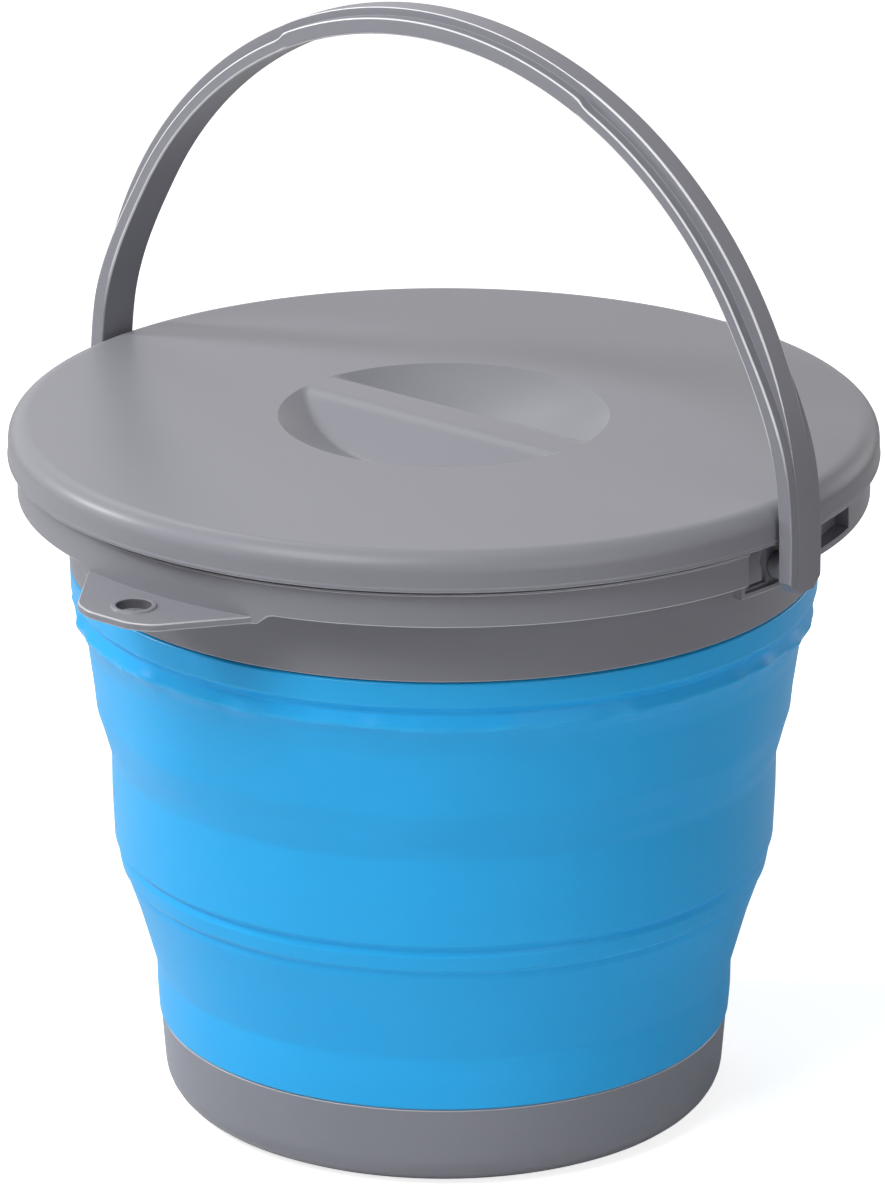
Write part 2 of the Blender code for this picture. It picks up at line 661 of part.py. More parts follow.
def make_bucket():
    clear_scene()
    pan = make_pan(plastic("pan_grey", GREY_PLASTIC))
    lower_cuff = make_lower_cuff(plastic("lower_cuff_blue", BLUE_RUBBER))
    lower_fold = make_lower_fold(plastic("lower_fold_blue", BLUE_RUBBER))
    ring = make_middle_ring(plastic("middle_ring_blue", BLUE_RUBBER))
    upper_fold = make_upper_fold(plastic("upper_fold_blue", BLUE_RUBBER))
    top_cuff = make_top_cuff(plastic("top_cuff_blue", BLUE_RUBBER))
    rim = make_rim(plastic("rim_grey", GREY_PLASTIC))
    lid = make_lid(plastic("lid_grey", GREY_PLASTIC))
    bail = make_bail(plastic("bail_grey", GREY_PLASTIC))

    place_origin(lower_cuff, PAN_TOP, pan)
    place_origin(lower_fold, LOWER_CUFF_TOP, pan)
    place_origin(ring, RING_BOTTOM, pan)
    place_origin(upper_fold, RING_TOP, ring)
    place_origin(rim, COLLAR_BOTTOM, ring)
    place_origin(top_cuff, TOP_CUFF_BOTTOM, rim)
    place_origin(lid, RIM_TOP, rim)
    place_origin(bail, PIVOT_HEIGHT, rim)


make_bucket()
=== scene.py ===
import math

import bmesh
import bpy
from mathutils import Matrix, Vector, noise


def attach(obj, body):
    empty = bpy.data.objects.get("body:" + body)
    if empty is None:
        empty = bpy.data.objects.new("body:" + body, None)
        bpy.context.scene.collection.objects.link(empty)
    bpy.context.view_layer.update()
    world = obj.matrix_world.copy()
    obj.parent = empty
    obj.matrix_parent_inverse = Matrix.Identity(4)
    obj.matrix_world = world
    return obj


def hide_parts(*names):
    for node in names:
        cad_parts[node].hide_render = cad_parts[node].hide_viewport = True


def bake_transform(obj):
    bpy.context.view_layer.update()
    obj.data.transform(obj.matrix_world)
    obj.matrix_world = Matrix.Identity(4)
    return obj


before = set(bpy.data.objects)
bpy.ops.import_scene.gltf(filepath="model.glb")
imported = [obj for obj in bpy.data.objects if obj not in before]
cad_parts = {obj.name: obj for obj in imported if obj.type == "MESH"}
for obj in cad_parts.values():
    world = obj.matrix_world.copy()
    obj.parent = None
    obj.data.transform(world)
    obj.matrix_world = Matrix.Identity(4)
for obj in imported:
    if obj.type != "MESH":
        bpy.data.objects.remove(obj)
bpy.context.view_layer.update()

# The bucket stands on z = 0 round the Z axis. Its handle turns about X and its tab points to -Y.
# Lengths are in metres, but corner lists of turned pieces, the lid and its wells are in millimetres.


# Small tools that every piece uses

craft = {
    "same": 0.00001,  # points nearer than this are the same place
    "weld": 0.000002,  # and these are merged when a mesh is closed
    "sliver": 0.0000005,  # a face thinner than this is dissolved
    "straight": 0.01,  # radians: a corner flatter than this isn't rounded
    "arcStep": 11,  # degrees in one segment of a rounded corner
    "arcLeast": 3,  # segments in any rounded corner
    "halvings": 6,  # how often a straight run can be halved
    "edgeWidth": 0.0006,  # the widest bend that counts as an edge, which gets a painted highlight
    "edgeTurn": 0.9965,  # cosine of the turn from a point to a face beside it, past which it is an edge
}


def deselectAll():
    if bpy.context.object and bpy.context.object.mode == "EDIT":
        bpy.ops.object.mode_set(mode="OBJECT")
    bpy.ops.object.select_all(action="DESELECT")


def pick(kind, test):  # selects the verts, edges or faces that pass the test, in edit mode
    bpy.ops.mesh.select_mode(type={"verts": "VERT", "edges": "EDGE", "faces": "FACE"}[kind])
    bpy.ops.mesh.select_all(action="DESELECT")
    mesh = bpy.context.object.data
    work = bmesh.from_edit_mesh(mesh)
    found = 0
    for item in getattr(work, kind):
        if test(item):
            item.select_set(True)
            found += 1
    work.select_flush_mode()
    bmesh.update_edit_mesh(mesh)
    return found


def pickAll():
    bpy.ops.mesh.select_mode(type="VERT")
    bpy.ops.mesh.select_all(action="SELECT")


def near(place):
    spot = Vector(place)
    return lambda vert: (vert.co - spot).length < craft["same"]


def startLine(name, place):  # one point to extrude a line from
    deselectAll()
    bpy.ops.mesh.primitive_plane_add(size=0.01)
    piece = bpy.context.object
    piece.name = name
    piece.data.name = name
    bpy.ops.object.mode_set(mode="EDIT")
    pickAll()
    bpy.ops.mesh.merge(type="CENTER")
    bpy.ops.transform.translate(value=place)
    return piece


def roundCorner(before, corner, after, bend):  # a vertex bevel set back as a tangent arc of radius bend
    toBefore = (Vector(before) - Vector(corner)).normalized()
    toAfter = (Vector(after) - Vector(corner)).normalized()
    opening = toBefore.angle(toAfter)
    if opening > math.pi - craft["straight"]:
        return
    pick("verts", near(corner))
    segments = round((math.pi - opening) / math.radians(craft["arcStep"]))
    bpy.ops.mesh.bevel(
        affect="VERTICES", offset_type="OFFSET", offset=bend / math.tan(opening / 2),
        segments=max(craft["arcLeast"], segments), profile=0.5,
    )


def drawOutline(name, places, bends, closed=True, longest=None):  # longest splits the straight runs
    piece = startLine(name, places[0])
    for last, place in zip(places, places[1:]):
        step = Vector(place) - Vector(last)
        bpy.ops.mesh.extrude_vertices_move(TRANSFORM_OT_translate={"value": step})
    if closed:
        ends = (near(places[0]), near(places[-1]))
        pick("verts", lambda vert: ends[0](vert) or ends[1](vert))
        bpy.ops.mesh.edge_face_add()
    count = len(places)
    for index, bend in enumerate(bends):
        if bend > 0:
            roundCorner(places[index - 1], places[index], places[(index + 1) % count], bend)
    if longest:
        for halving in range(craft["halvings"]):
            low = longest * 2 ** halving
            if pick("edges", lambda edge: low < edge.calc_length() <= 2 * low):
                bpy.ops.mesh.subdivide(number_cuts=2 ** (halving + 1) - 1)
    return piece


def closeMesh():  # merges doubles and turns the faces outwards
    pickAll()
    bpy.ops.mesh.remove_doubles(threshold=craft["weld"])
    bpy.ops.mesh.dissolve_degenerate(threshold=craft["sliver"])
    pickAll()
    bpy.ops.mesh.normals_make_consistent(inside=False)


# Spins an outline of (radius, height, bend) corners round the Z axis, or round X where side is 1 or -1
def turnPiece(name, corners, steps, closed=True, longest=None, centre=(0, 0, 0), side=0):
    middle = Vector(centre)
    places = []
    for radius, height, bend in corners:
        place = Vector((side * height, 0, radius)) if side else Vector((radius, 0, height))
        places.append(middle + place / 1000)
    piece = drawOutline(name, places, [bend / 1000 for radius, height, bend in corners], closed, longest)
    pickAll()
    bpy.ops.mesh.spin(steps=steps, angle=2 * math.pi, center=centre, axis=(1, 0, 0) if side else (0, 0, 1))
    closeMesh()
    bpy.ops.object.mode_set(mode="OBJECT")
    return piece


def makeBlock(name, low, high):  # a cutter between two corners
    deselectAll()
    bpy.ops.mesh.primitive_cube_add(size=1.0)
    piece = bpy.context.object
    piece.name = name
    bpy.ops.object.mode_set(mode="EDIT")
    pickAll()
    bpy.ops.transform.resize(value=[b - a for a, b in zip(low, high)])
    bpy.ops.transform.translate(value=[(a + b) / 2 for a, b in zip(low, high)])
    bpy.ops.object.mode_set(mode="OBJECT")
    return piece


def useModifier(piece, kind, **settings):
    deselectAll()
    piece.select_set(True)
    bpy.context.view_layer.objects.active = piece
    step = piece.modifiers.new(kind.lower(), kind)
    for name, value in settings.items():
        setattr(step, name, value)
    bpy.ops.object.modifier_apply(modifier=step.name)


def cutWith(piece, tool, operation):
    useModifier(piece, "BOOLEAN", object=tool, operation=operation, solver="EXACT")
    bpy.data.objects.remove(tool, do_unlink=True)


def shadeSmooth(piece, degrees):  # bends sharper than this many degrees stay sharp
    deselectAll()
    piece.select_set(True)
    bpy.context.view_layer.objects.active = piece
    bpy.ops.object.shade_smooth_by_angle(angle=math.radians(degrees))
    useModifier(piece, "WEIGHTED_NORMAL", keep_sharp=True)


def markEdges(piece):  # 1 on the points that lie inside a narrow outward bend: there a painted highlight makes the edge paler, and the finish is smoother
    work = bmesh.new()
    work.from_mesh(piece.data)
    work.normal_update()
    marks = []
    for vert in work.verts:
        lengths = [max(edge.calc_length() for edge in face.edges) for face in vert.link_faces]
        widths = [face.calc_area() / length for face, length in zip(vert.link_faces, lengths)]
        turns = [face.normal.dot(vert.normal) for face in vert.link_faces]
        short = [edge for edge in vert.link_edges if edge.calc_length() < craft["edgeWidth"]]
        across = [edge.other_vert(vert).co for edge in short]
        outward = bool(across) and (vert.co - sum(across, Vector()) / len(across)).dot(vert.normal) > 0
        narrow = bool(widths) and max(widths) < craft["edgeWidth"] and min(turns) < craft["edgeTurn"]
        marks.append(1.0 if outward and narrow else 0.0)
    work.free()
    layer = piece.data.attributes.new("edge", "FLOAT", "POINT")
    layer.data.foreach_set("value", marks)
    print("edge points:", piece.name, round(sum(marks)), "of", len(marks))


def movePoints(piece, move):  # sculpts a mesh: move takes each point and gives its new place
    for vert in piece.data.vertices:
        vert.co = move(vert.co.copy())


def easeStep(value):
    value = max(0.0, min(1.0, value))
    return value * value * (3 - 2 * value)


# Shader maths, written as Python

class Value:
    def __init__(self, finish, socket):
        self.finish = finish
        self.socket = socket

    def maths(self, operation, first, second):
        return self.finish.add("ShaderNodeMath", {"operation": operation}, {0: first, 1: second})

    def __add__(self, other):
        return self.maths("ADD", self, other)

    def __radd__(self, other):
        return self.maths("ADD", other, self)

    def __sub__(self, other):
        return self.maths("SUBTRACT", self, other)

    def __rsub__(self, other):
        return self.maths("SUBTRACT", other, self)

    def __mul__(self, other):
        return self.maths("MULTIPLY", self, other)

    def __rmul__(self, other):
        return self.maths("MULTIPLY", other, self)

    def __or__(self, other):
        return self.maths("MAXIMUM", self, other)


class Finish:  # the nodes of one material or of the world, all made by add
    def __init__(self, owner):
        owner.use_nodes = True
        self.owner = owner
        self.tree = owner.node_tree
        self.tree.nodes.clear()

    def join(self, node, key, value):
        if isinstance(value, Value):
            self.tree.links.new(value.socket, node.inputs[key])
        else:
            node.inputs[key].default_value = value

    def add(self, kind, settings=None, sockets=None, output=0):
        node = self.tree.nodes.new(kind)
        for name, value in (settings or {}).items():
            setattr(node, name, value)
        for key, value in (sockets or {}).items():
            self.join(node, key, value)
        return Value(self, node.outputs[output]) if node.outputs else None

    def noise(self, scale, detail):
        place = self.add("ShaderNodeTexCoord", output="Object")
        return self.add("ShaderNodeTexNoise", None, {"Vector": place, "Scale": scale, "Detail": detail})

    def between(self, share, first, second):  # inputs 6 and 7 and output 2 are the node's colours
        return self.add("ShaderNodeMix", {"data_type": "RGBA"}, {0: share, 6: first, 7: second}, output=2)

    def bump(self, height):  # a height of 1 is a millimetre
        return self.add("ShaderNodeBump", None, {"Height": height, "Strength": 1.0, "Distance": 0.001})

    def layer(self, name):
        return self.add("ShaderNodeAttribute", {"attribute_name": name}, output="Fac")

    def rayIs(self, kind):
        return self.add("ShaderNodeLightPath", output=kind)


def plastic(name, parts, shade=1.0):  # slow clouds in the colour, the fine grain of the mould, and a painted highlight on the marked edges
    finish = Finish(bpy.data.materials.new(name))
    cloud = finish.noise(parts["cloudScale"], parts["cloudDetail"])
    grain = finish.noise(parts["grainScale"], parts["grainDetail"])
    swell = finish.noise(parts["swellScale"], parts["swellDetail"])
    darker = [shade * value for value in parts["colour"]] + [1.0]
    paler = [shade * value for value in parts["paler"]] + [1.0]
    edge = finish.layer("edge")
    colour = finish.between(cloud, darker, paler)
    uneven = parts["cloudRough"] * (cloud - 0.5) + parts["grainRough"] * (grain - 0.5)
    # painted highlight: marked edges are mixed toward the pale edge colour, and are a little smoother
    shader = finish.add("ShaderNodeBsdfPrincipled", None, {
        "Base Color": finish.between(parts["paintedHighlightShare"] * edge, colour, parts["edge"]),
        "Roughness": parts["roughness"] + uneven - parts["edgeRough"] * edge,
        "IOR": parts["ior"],
        "Specular IOR Level": parts["gloss"],
        "Normal": finish.bump(parts["grainHeight"] * grain + parts["swellHeight"] * swell),
    })
    finish.add("ShaderNodeOutputMaterial", None, {"Surface": shader})
    return finish.owner


greyPlastic = {
    "colour": (0.236, 0.236, 0.266),
    "paler": (0.254, 0.254, 0.285),
    # painted highlight: the pale colour that marked edges are mixed toward
    "edge": (0.85, 0.85, 0.87, 1.0),
    "paintedHighlightShare": 0.5,
    "roughness": 0.35,
    "ior": 1.46,
    "gloss": 0.26,
    "cloudRough": 0.08,
    "grainRough": 0.06,
    "edgeRough": 0.12,
    "cloudScale": 14.0,
    "cloudDetail": 3.0,
    "grainScale": 1500.0,
    "grainDetail": 2.0,
    "grainHeight": 0.005,
    "swellScale": 30.0,
    "swellDetail": 1.0,
    "swellHeight": 0.06,
}

blueRubber = {
    "colour": (0.022, 0.426, 0.890),
    "paler": (0.026, 0.456, 0.920),
    # painted highlight: the pale colour that marked edges are mixed toward
    "edge": (0.05, 0.50, 0.95, 1.0),
    "paintedHighlightShare": 0.3,
    "roughness": 0.38,
    "ior": 1.45,
    "gloss": 0.26,
    "cloudRough": 0.08,
    "grainRough": 0.06,
    "edgeRough": 0.12,
    "cloudScale": 11.0,
    "cloudDetail": 3.0,
    "grainScale": 900.0,
    "grainDetail": 2.0,
    "grainHeight": 0.012,
    "swellScale": 75.0,
    "swellDetail": 1.0,
    "swellHeight": 0.16,
}

print("materials: grey plastic and blue rubber")


# Pan: the hard base

pan = {
    "corners": [
        (0.0, 0.0, 0.0), (99.9, 0.0, 13.0), (102.3, 31.0, 0.5), (101.6, 31.35, 0.0), (101.2, 31.4, 0.0),
        (101.2, 37.4, 0.0), (100.1, 37.4, 0.0), (98.0, 3.0, 9.0), (0.0, 3.0, 0.0),
    ],
    "steps": 256,
    "smooth": 35,
    "shade": 1.03,
}

panPiece = turnPiece("panShell", pan["corners"], pan["steps"], closed=False)
shadeSmooth(panPiece, pan["smooth"])
markEdges(panPiece)
panPiece.data.materials.append(plastic("panGrey", greyPlastic, pan["shade"]))
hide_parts("pan")
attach(panPiece, "base")
print("pan: floor and low wall")


# Folding wall: one soft skin in two stretches, whose edges meet at 136.2 mm

wall = {
    "thickness": 0.0013,
    "steps": 288,
    "smooth": 50,
    "longest": 0.0018,
    "lowerBlend": (0.0520, 0.0975),  # two heights on the skin, which makeWall takes as start and end
    "upperBlend": (0.1360, 0.1900),
    "lower": [
        (102.3, 31.5, 0.0), (102.9, 32.2, 0.6), (103.5, 41.0, 14.0), (103.7, 51.0, 7.0), (110.2, 74.0, 70.0),
        (113.8, 84.8, 3.0), (113.9, 87.4, 1.2), (115.7, 89.2, 1.3), (116.6, 94.4, 1.4), (115.9, 96.9, 1.1),
        (118.0, 99.2, 1.8), (118.8, 116.0, 60.0), (119.0, 131.5, 8.0), (120.3, 136.2, 0.0),
    ],
    "upper": [
        (120.3, 136.2, 0.0), (124.2, 149.8, 9.0), (125.0, 158.0, 40.0), (127.0, 173.5, 14.0),
        (129.3, 180.0, 5.0), (131.9, 184.2, 2.4), (129.9, 189.6, 1.3),
        (132.5, 192.6, 1.6), (132.7, 200.9, 0.7), (131.3, 201.6, 0.0),
    ],
    "waves": [(17, 0.4), (36, 2.1), (29, 4.0), (53, 1.3)],
    "slowRound": 3.1,
    "slowUp": 26,
    "hinge": (0.1830, 0.0040, 0.0013),  # height, reach and depth of each band that wanders
    "belly": (0.150, 0.012, 0.0009),
    "crease": (0.0905, 0.006, 0.0003),
    "allOver": 0.0003,
    "lift": (0.1815, 0.0040, 0.0018),
    "liftSwing": 0.5,
    "still": (0.0314, 0.1362, 0.2018),  # the edges that meet another piece stay round
    "stillReach": 0.006,
}


def bandShare(band, height):  # 1 in the middle of a band, falling away to both sides
    return math.exp(-((height - band[0]) / band[1]) ** 2)


def wallWaves(point):  # the hinge under the top cuff and the overhang wander a little all round
    angle = math.atan2(point.y, point.x)
    radius = math.hypot(point.x, point.y)
    swing = sum(math.sin(count * angle + phase) for count, phase in wall["waves"]) / len(wall["waves"])
    ring = (wall["slowRound"] * math.cos(angle), wall["slowRound"] * math.sin(angle))
    slow = noise.noise(Vector((*ring, point.z * wall["slowUp"])))
    push = wall["hinge"][2] * bandShare(wall["hinge"], point.z) * swing
    push += wall["belly"][2] * bandShare(wall["belly"], point.z) * slow
    push += wall["crease"][2] * bandShare(wall["crease"], point.z) * slow
    push += wall["allOver"] * slow
    push *= easeStep(min(abs(point.z - height) for height in wall["still"]) / wall["stillReach"])
    lift = wall["lift"][2] * bandShare(wall["lift"], point.z) * (slow + wall["liftSwing"] * swing)
    return Vector((point.x * (1 + push / radius), point.y * (1 + push / radius), point.z + lift))


def makeWall(name, corners, nodes, bodies, start, end, slot):
    piece = turnPiece(name, corners, wall["steps"], closed=False, longest=wall["longest"])
    movePoints(piece, wallWaves)
    useModifier(piece, "SOLIDIFY", thickness=wall["thickness"], offset=-1.0, use_even_offset=True)
    shadeSmooth(piece, wall["smooth"])
    markEdges(piece)
    piece.data.materials.append(plastic(name + "Blue", blueRubber))
    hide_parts(*nodes)
    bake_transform(piece)


makeWall("wallLower", wall["lower"], ("wall_lower_cuff", "wall_lower_fold", "wall_middle_ring"),
         ("base", "ring"), *wall["lowerBlend"], "wall_middle_ring")
makeWall("wallUpper", wall["upper"], ("wall_upper_fold", "wall_top_cuff"),
         ("ring", "rim"), *wall["upperBlend"], "wall_top_cuff")
print("wall: two stretches of soft skin")


# Rim: collar, flange and skirt, then the lowered stretch at the tab and the two pockets

rim = {
    "steps": 480,
    "smooth": 40,
    "corners": [
        (129.9, 195.8, 0.0), (131.0, 195.8, 0.0), (131.0, 201.9, 0.0), (132.2, 201.9, 0.0),
        (132.75, 202.2, 0.3), (135.5, 249.8, 1.2), (148.3, 249.8, 1.0), (148.3, 228.2, 0.3),
        (150.7, 228.0, 0.45), (150.5, 239.1, 0.2), (151.2, 239.4, 0.25), (151.2, 240.1, 0.25),
        (150.5, 240.15, 0.0), (150.5, 252.0, 2.0), (132.9, 252.0, 2.0),
    ],
    "shade": 0.96,
    "tabRoot": 0.0380,
    "tabSlope": 0.0060,
    "tabDrop": 0.0038,
    "skirtInside": 0.1475,
    "skirtFoot": 0.2300,
}

rimPiece = turnPiece("rimBody", rim["corners"], rim["steps"])


def lowerAtTab(point):
    radius = math.hypot(point.x, point.y)
    if point.y > 0 or radius < rim["skirtInside"] or point.z > rim["skirtFoot"]:
        return point
    share = (rim["tabRoot"] + rim["tabSlope"] - abs(point.x)) / rim["tabSlope"]
    return point - Vector((0, 0, rim["tabDrop"] * easeStep(share)))


movePoints(rimPiece, lowerAtTab)

pocket = {
    "front": -0.0175,
    "middle": 0.0175,
    "rearStart": 0.0100,
    "rear": 0.0480,
    "overlap": 0.0002,
    "wall": 0.0018,
    "steps": 240,
    "cutFloor": 0.21,
    "cutTop": 0.26,
    "cutReach": 0.2,
    "backing": [(145.8, 223.3, 0.4), (149.3, 223.3, 0.4), (149.3, 250.9, 0.0), (145.8, 250.9, 0.0)],
    "room": [(147.7, 225.1, 0.0), (154.0, 225.1, 0.0), (154.0, 249.8, 0.0), (147.7, 249.8, 0.0)],
    "rearBacking": [(143.2, 228.4, 0.4), (149.3, 228.4, 0.4), (149.3, 250.9, 0.0), (143.2, 250.9, 0.0)],
    "rearRoom": [(145.0, 230.6, 0.0), (154.0, 230.6, 0.0), (154.0, 249.8, 0.0), (145.0, 249.8, 0.0)],
    "bore": [(4.4, 144.0, 0.0), (4.4, 150.0, 0.0), (0.0, 150.0, 0.0), (0.0, 144.0, 0.0)],
    "boreSteps": 48,
    "windows": [(-0.0150, -0.0052), (0.0052, 0.0130)],
    "windowBack": 0.1400,
    "windowFront": 0.1500,
    "windowFloor": 0.2262,
    "windowTop": 0.2480,
}
pivot = (0, 0, 0.2315)


def pocketArc(name, corners, start, stop, operation):  # a curved stretch at both ends of the handle's axis
    arc = turnPiece(name, corners, pocket["steps"])
    ends = makeBlock(name + "Ends", (-pocket["cutReach"], start, pocket["cutFloor"]),
                     (pocket["cutReach"], stop, pocket["cutTop"]))
    cutWith(arc, ends, "INTERSECT")
    cutWith(rimPiece, arc, operation)


pocketArc("rearBacking", pocket["rearBacking"], pocket["rearStart"],
          pocket["rear"] + pocket["wall"], "UNION")
pocketArc("pocketBacking", pocket["backing"], pocket["front"] - pocket["wall"],
          pocket["middle"] + pocket["wall"], "UNION")
pocketArc("pocketRoom", pocket["room"], pocket["front"], pocket["middle"], "DIFFERENCE")
pocketArc("rearRoom", pocket["rearRoom"], pocket["middle"] - pocket["overlap"], pocket["rear"], "DIFFERENCE")
for side in (1, -1):
    bore = turnPiece("pocketBore", pocket["bore"], pocket["boreSteps"], centre=pivot, side=side)
    cutWith(rimPiece, bore, "DIFFERENCE")
    across = sorted((side * pocket["windowBack"], side * pocket["windowFront"]))
    for window in pocket["windows"]:
        cutWith(rimPiece, makeBlock("pocketWindow", (across[0], window[0], pocket["windowFloor"]),
                                    (across[1], window[1], pocket["windowTop"])), "DIFFERENCE")

shadeSmooth(rimPiece, rim["smooth"])
markEdges(rimPiece)
rimPiece.data.materials.append(plastic("rimGrey", greyPlastic, rim["shade"]))
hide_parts("rim")
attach(rimPiece, "rim")
print("rim: collar, flange, skirt and pockets")

tab = {
    "root": 0.0376,
    "rootDepth": 0.1500,
    "tip": 0.0130,
    "reach": 0.1775,
    "bottom": 0.22425,
    "top": 0.2270,
    "holeY": -0.1640,
    "holeRadius": 0.0060,
    "holeSteps": 64,
    # painted shade: the wall of the hole takes a copy of the grey this much darker
    "holeShade": 0.30,
    "holeSkin": 0.00015,  # faces this far outside the hole still belong to its wall
    "upright": 0.5,  # if their normals rise less than this
    "sideIn": 0.004,
    "sideBack": 0.0035,
    "sideBend": 0.010,
    "tipBend": 0.012,
    "rootSteps": 12,
    "edge": 0.0006,
    "edgeSteps": 3,
    "sharp": 1.0,  # radians: edges flatter than this aren't bevelled
    "clear": 0.0075,  # nor are those this near the middle of the hole
    "plainRing": 0.0095,  # and no edge this near it gets the painted highlight
    "smooth": 40,
    "ring": [(6.0, 226.8, 0.0), (8.2, 226.8, 0.0), (7.6, 227.75, 0.5), (6.2, 227.75, 0.4)],
}


def makeTab():  # a flat plate off the skirt, with soft edges and a hole
    rootY = -math.sqrt(tab["rootDepth"] ** 2 - tab["root"] ** 2)
    wide = tab["tip"] + tab["sideIn"]
    slim = tab["tip"] - tab["sideIn"]
    sideY = -tab["reach"] + tab["sideBack"]
    corners = [
        (tab["root"], rootY, 0.0), (wide, sideY, tab["sideBend"]), (slim, -tab["reach"], tab["tipBend"]),
        (-slim, -tab["reach"], tab["tipBend"]), (-wide, sideY, tab["sideBend"]), (-tab["root"], rootY, 0.0),
    ]
    arc = math.asin(tab["root"] / tab["rootDepth"])
    for step in range(1, tab["rootSteps"]):
        angle = -math.pi / 2 - arc + 2 * arc * step / tab["rootSteps"]
        corners.append((tab["rootDepth"] * math.cos(angle), tab["rootDepth"] * math.sin(angle), 0.0))
    places = [(x, y, tab["bottom"]) for x, y, bend in corners]
    piece = drawOutline("rimTab", places, [bend for x, y, bend in corners])
    bpy.ops.mesh.select_all(action="DESELECT")
    bpy.ops.mesh.primitive_circle_add(vertices=tab["holeSteps"], radius=tab["holeRadius"],
                                      location=(0, tab["holeY"], tab["bottom"]))
    pickAll()
    bpy.ops.mesh.fill()
    pickAll()
    bpy.ops.mesh.extrude_region_move(TRANSFORM_OT_translate={"value": (0, 0, tab["top"] - tab["bottom"])})
    closeMesh()

    def onEdge(edge):
        flat = abs(edge.verts[0].co.z - edge.verts[1].co.z) < craft["same"]
        outside = all(math.hypot(vert.co.x, vert.co.y - tab["holeY"]) > tab["clear"] for vert in edge.verts)
        return flat and outside and len(edge.link_faces) == 2 and edge.calc_face_angle(0) > tab["sharp"]

    if pick("edges", onEdge):
        bpy.ops.mesh.bevel(offset=tab["edge"], segments=tab["edgeSteps"],
                           affect="EDGES", clamp_overlap=True)
    bpy.ops.object.mode_set(mode="OBJECT")
    return piece


holeGrey = plastic("holeGrey", greyPlastic, tab["holeShade"])  # painted shade: a darker copy of the grey, for the wall of the hole
tabPlate = makeTab()
tabRing = turnPiece("rimTabRing", tab["ring"], tab["holeSteps"], centre=(0, tab["holeY"], 0))
for piece in (tabPlate, tabRing):
    shadeSmooth(piece, tab["smooth"])
    markEdges(piece)
    # round the hole, the edges get no painted highlight and no smoother finish
    for point, mark in zip(piece.data.vertices, piece.data.attributes["edge"].data):
        if math.hypot(point.co.x, point.co.y - tab["holeY"]) < tab["plainRing"]:
            mark.value = 0.0
    piece.data.materials.append(rimPiece.data.materials[0])
    piece.data.materials.append(holeGrey)
    # painted shade: the faces of the hole's wall take the darker copy
    for face in piece.data.polygons:
        reach = math.hypot(face.center.x, face.center.y - tab["holeY"])
        if reach < tab["holeRadius"] + tab["holeSkin"] and abs(face.normal.z) < tab["upright"]:
            face.material_index = 1
    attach(piece, "rim")
print("tab: plate and ringed hole")


# Lid: the shell, whose flat top is sunk into two finger wells with a bar between them

lid = {
    "steps": 360,
    "smooth": 30,
    "corners": [
        (114.5, 250.3, 6.0), (128.8, 252.3, 6.0), (151.6, 252.3, 1.2), (151.6, 241.7, 0.3),
        (153.9, 241.6, 0.3), (154.05, 242.6, 0.4), (153.8, 243.3, 0.3), (153.6, 254.7, 6.8),
        (146.3, 254.65, 0.0), (120.0, 254.4, 0.0),
    ],
    "plate": 62.0,  # radius of the flat middle, which has a ring of points at each gap for the wells
    "under": 250.3,
    "level": 254.2,
    "ringGap": 0.85,
}

well = {
    "room": 61.5,  # nothing outside this radius is sunk
    "split": 251.5,  # and what is lower than this is the underside
    "radius": 58.5,
    "depth": 15.5,
    "curve": 2.8,
    "wall": 2.3,
    "grow": 0.8,  # share of the wall by which the bowl is wider on the underside
    "barFlat": 4.6,
    "barBend": 14.0,
    "barSlope": 0.62,
    "creaseBend": 1.3,
}


def wellDepth(x, y, grow):  # in mm: a round bowl, less the bar with its round shoulders, and a soft crease
    radius = math.hypot(x, y)
    bowl = well["depth"] * (1 - (radius / (well["radius"] + well["grow"] * grow)) ** well["curve"])
    out = abs(y) - well["barFlat"] + grow
    if bowl <= 0 or out <= 0:
        return 0.0
    bend = well["barBend"]
    slope = math.atan(well["barSlope"])
    if out < bend * math.sin(slope):
        side = bend - math.sqrt(bend ** 2 - out ** 2)
    else:
        side = bend * (1 - math.cos(slope)) + (out - bend * math.sin(slope)) * well["barSlope"]
    lower = min(bowl, side)
    soft = min(well["creaseBend"], 2 * lower)
    mix = max(soft - abs(bowl - side), 0) / soft if soft > 0 else 0
    return lower - mix * mix * soft / 4


def sinkWells(point):
    x, y, z = [value * 1000 for value in point]
    if math.hypot(x, y) > well["room"]:
        return point
    grow = well["wall"] if z < well["split"] else 0.0
    return point - Vector((0, 0, wellDepth(x, y, grow) / 1000))


rings = round(lid["plate"] / lid["ringGap"])
plate = [lid["plate"] * step / rings for step in range(rings + 1)]
lidCorners = [(radius, lid["under"], 0.0) for radius in plate] + lid["corners"]
lidCorners += [(radius, lid["level"], 0.0) for radius in reversed(plate)]
lidPiece = turnPiece("lidShell", lidCorners, lid["steps"], closed=False)
movePoints(lidPiece, sinkWells)
shadeSmooth(lidPiece, lid["smooth"])
markEdges(lidPiece)
lidPiece.data.materials.append(plastic("lidGrey", greyPlastic))
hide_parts("lid")
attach(lidPiece, "lid")
print("lid: shell, finger wells and grip bar")


# Bail handle: a hat section spun over the arch, drawn down into two legs, with a snap stud in each

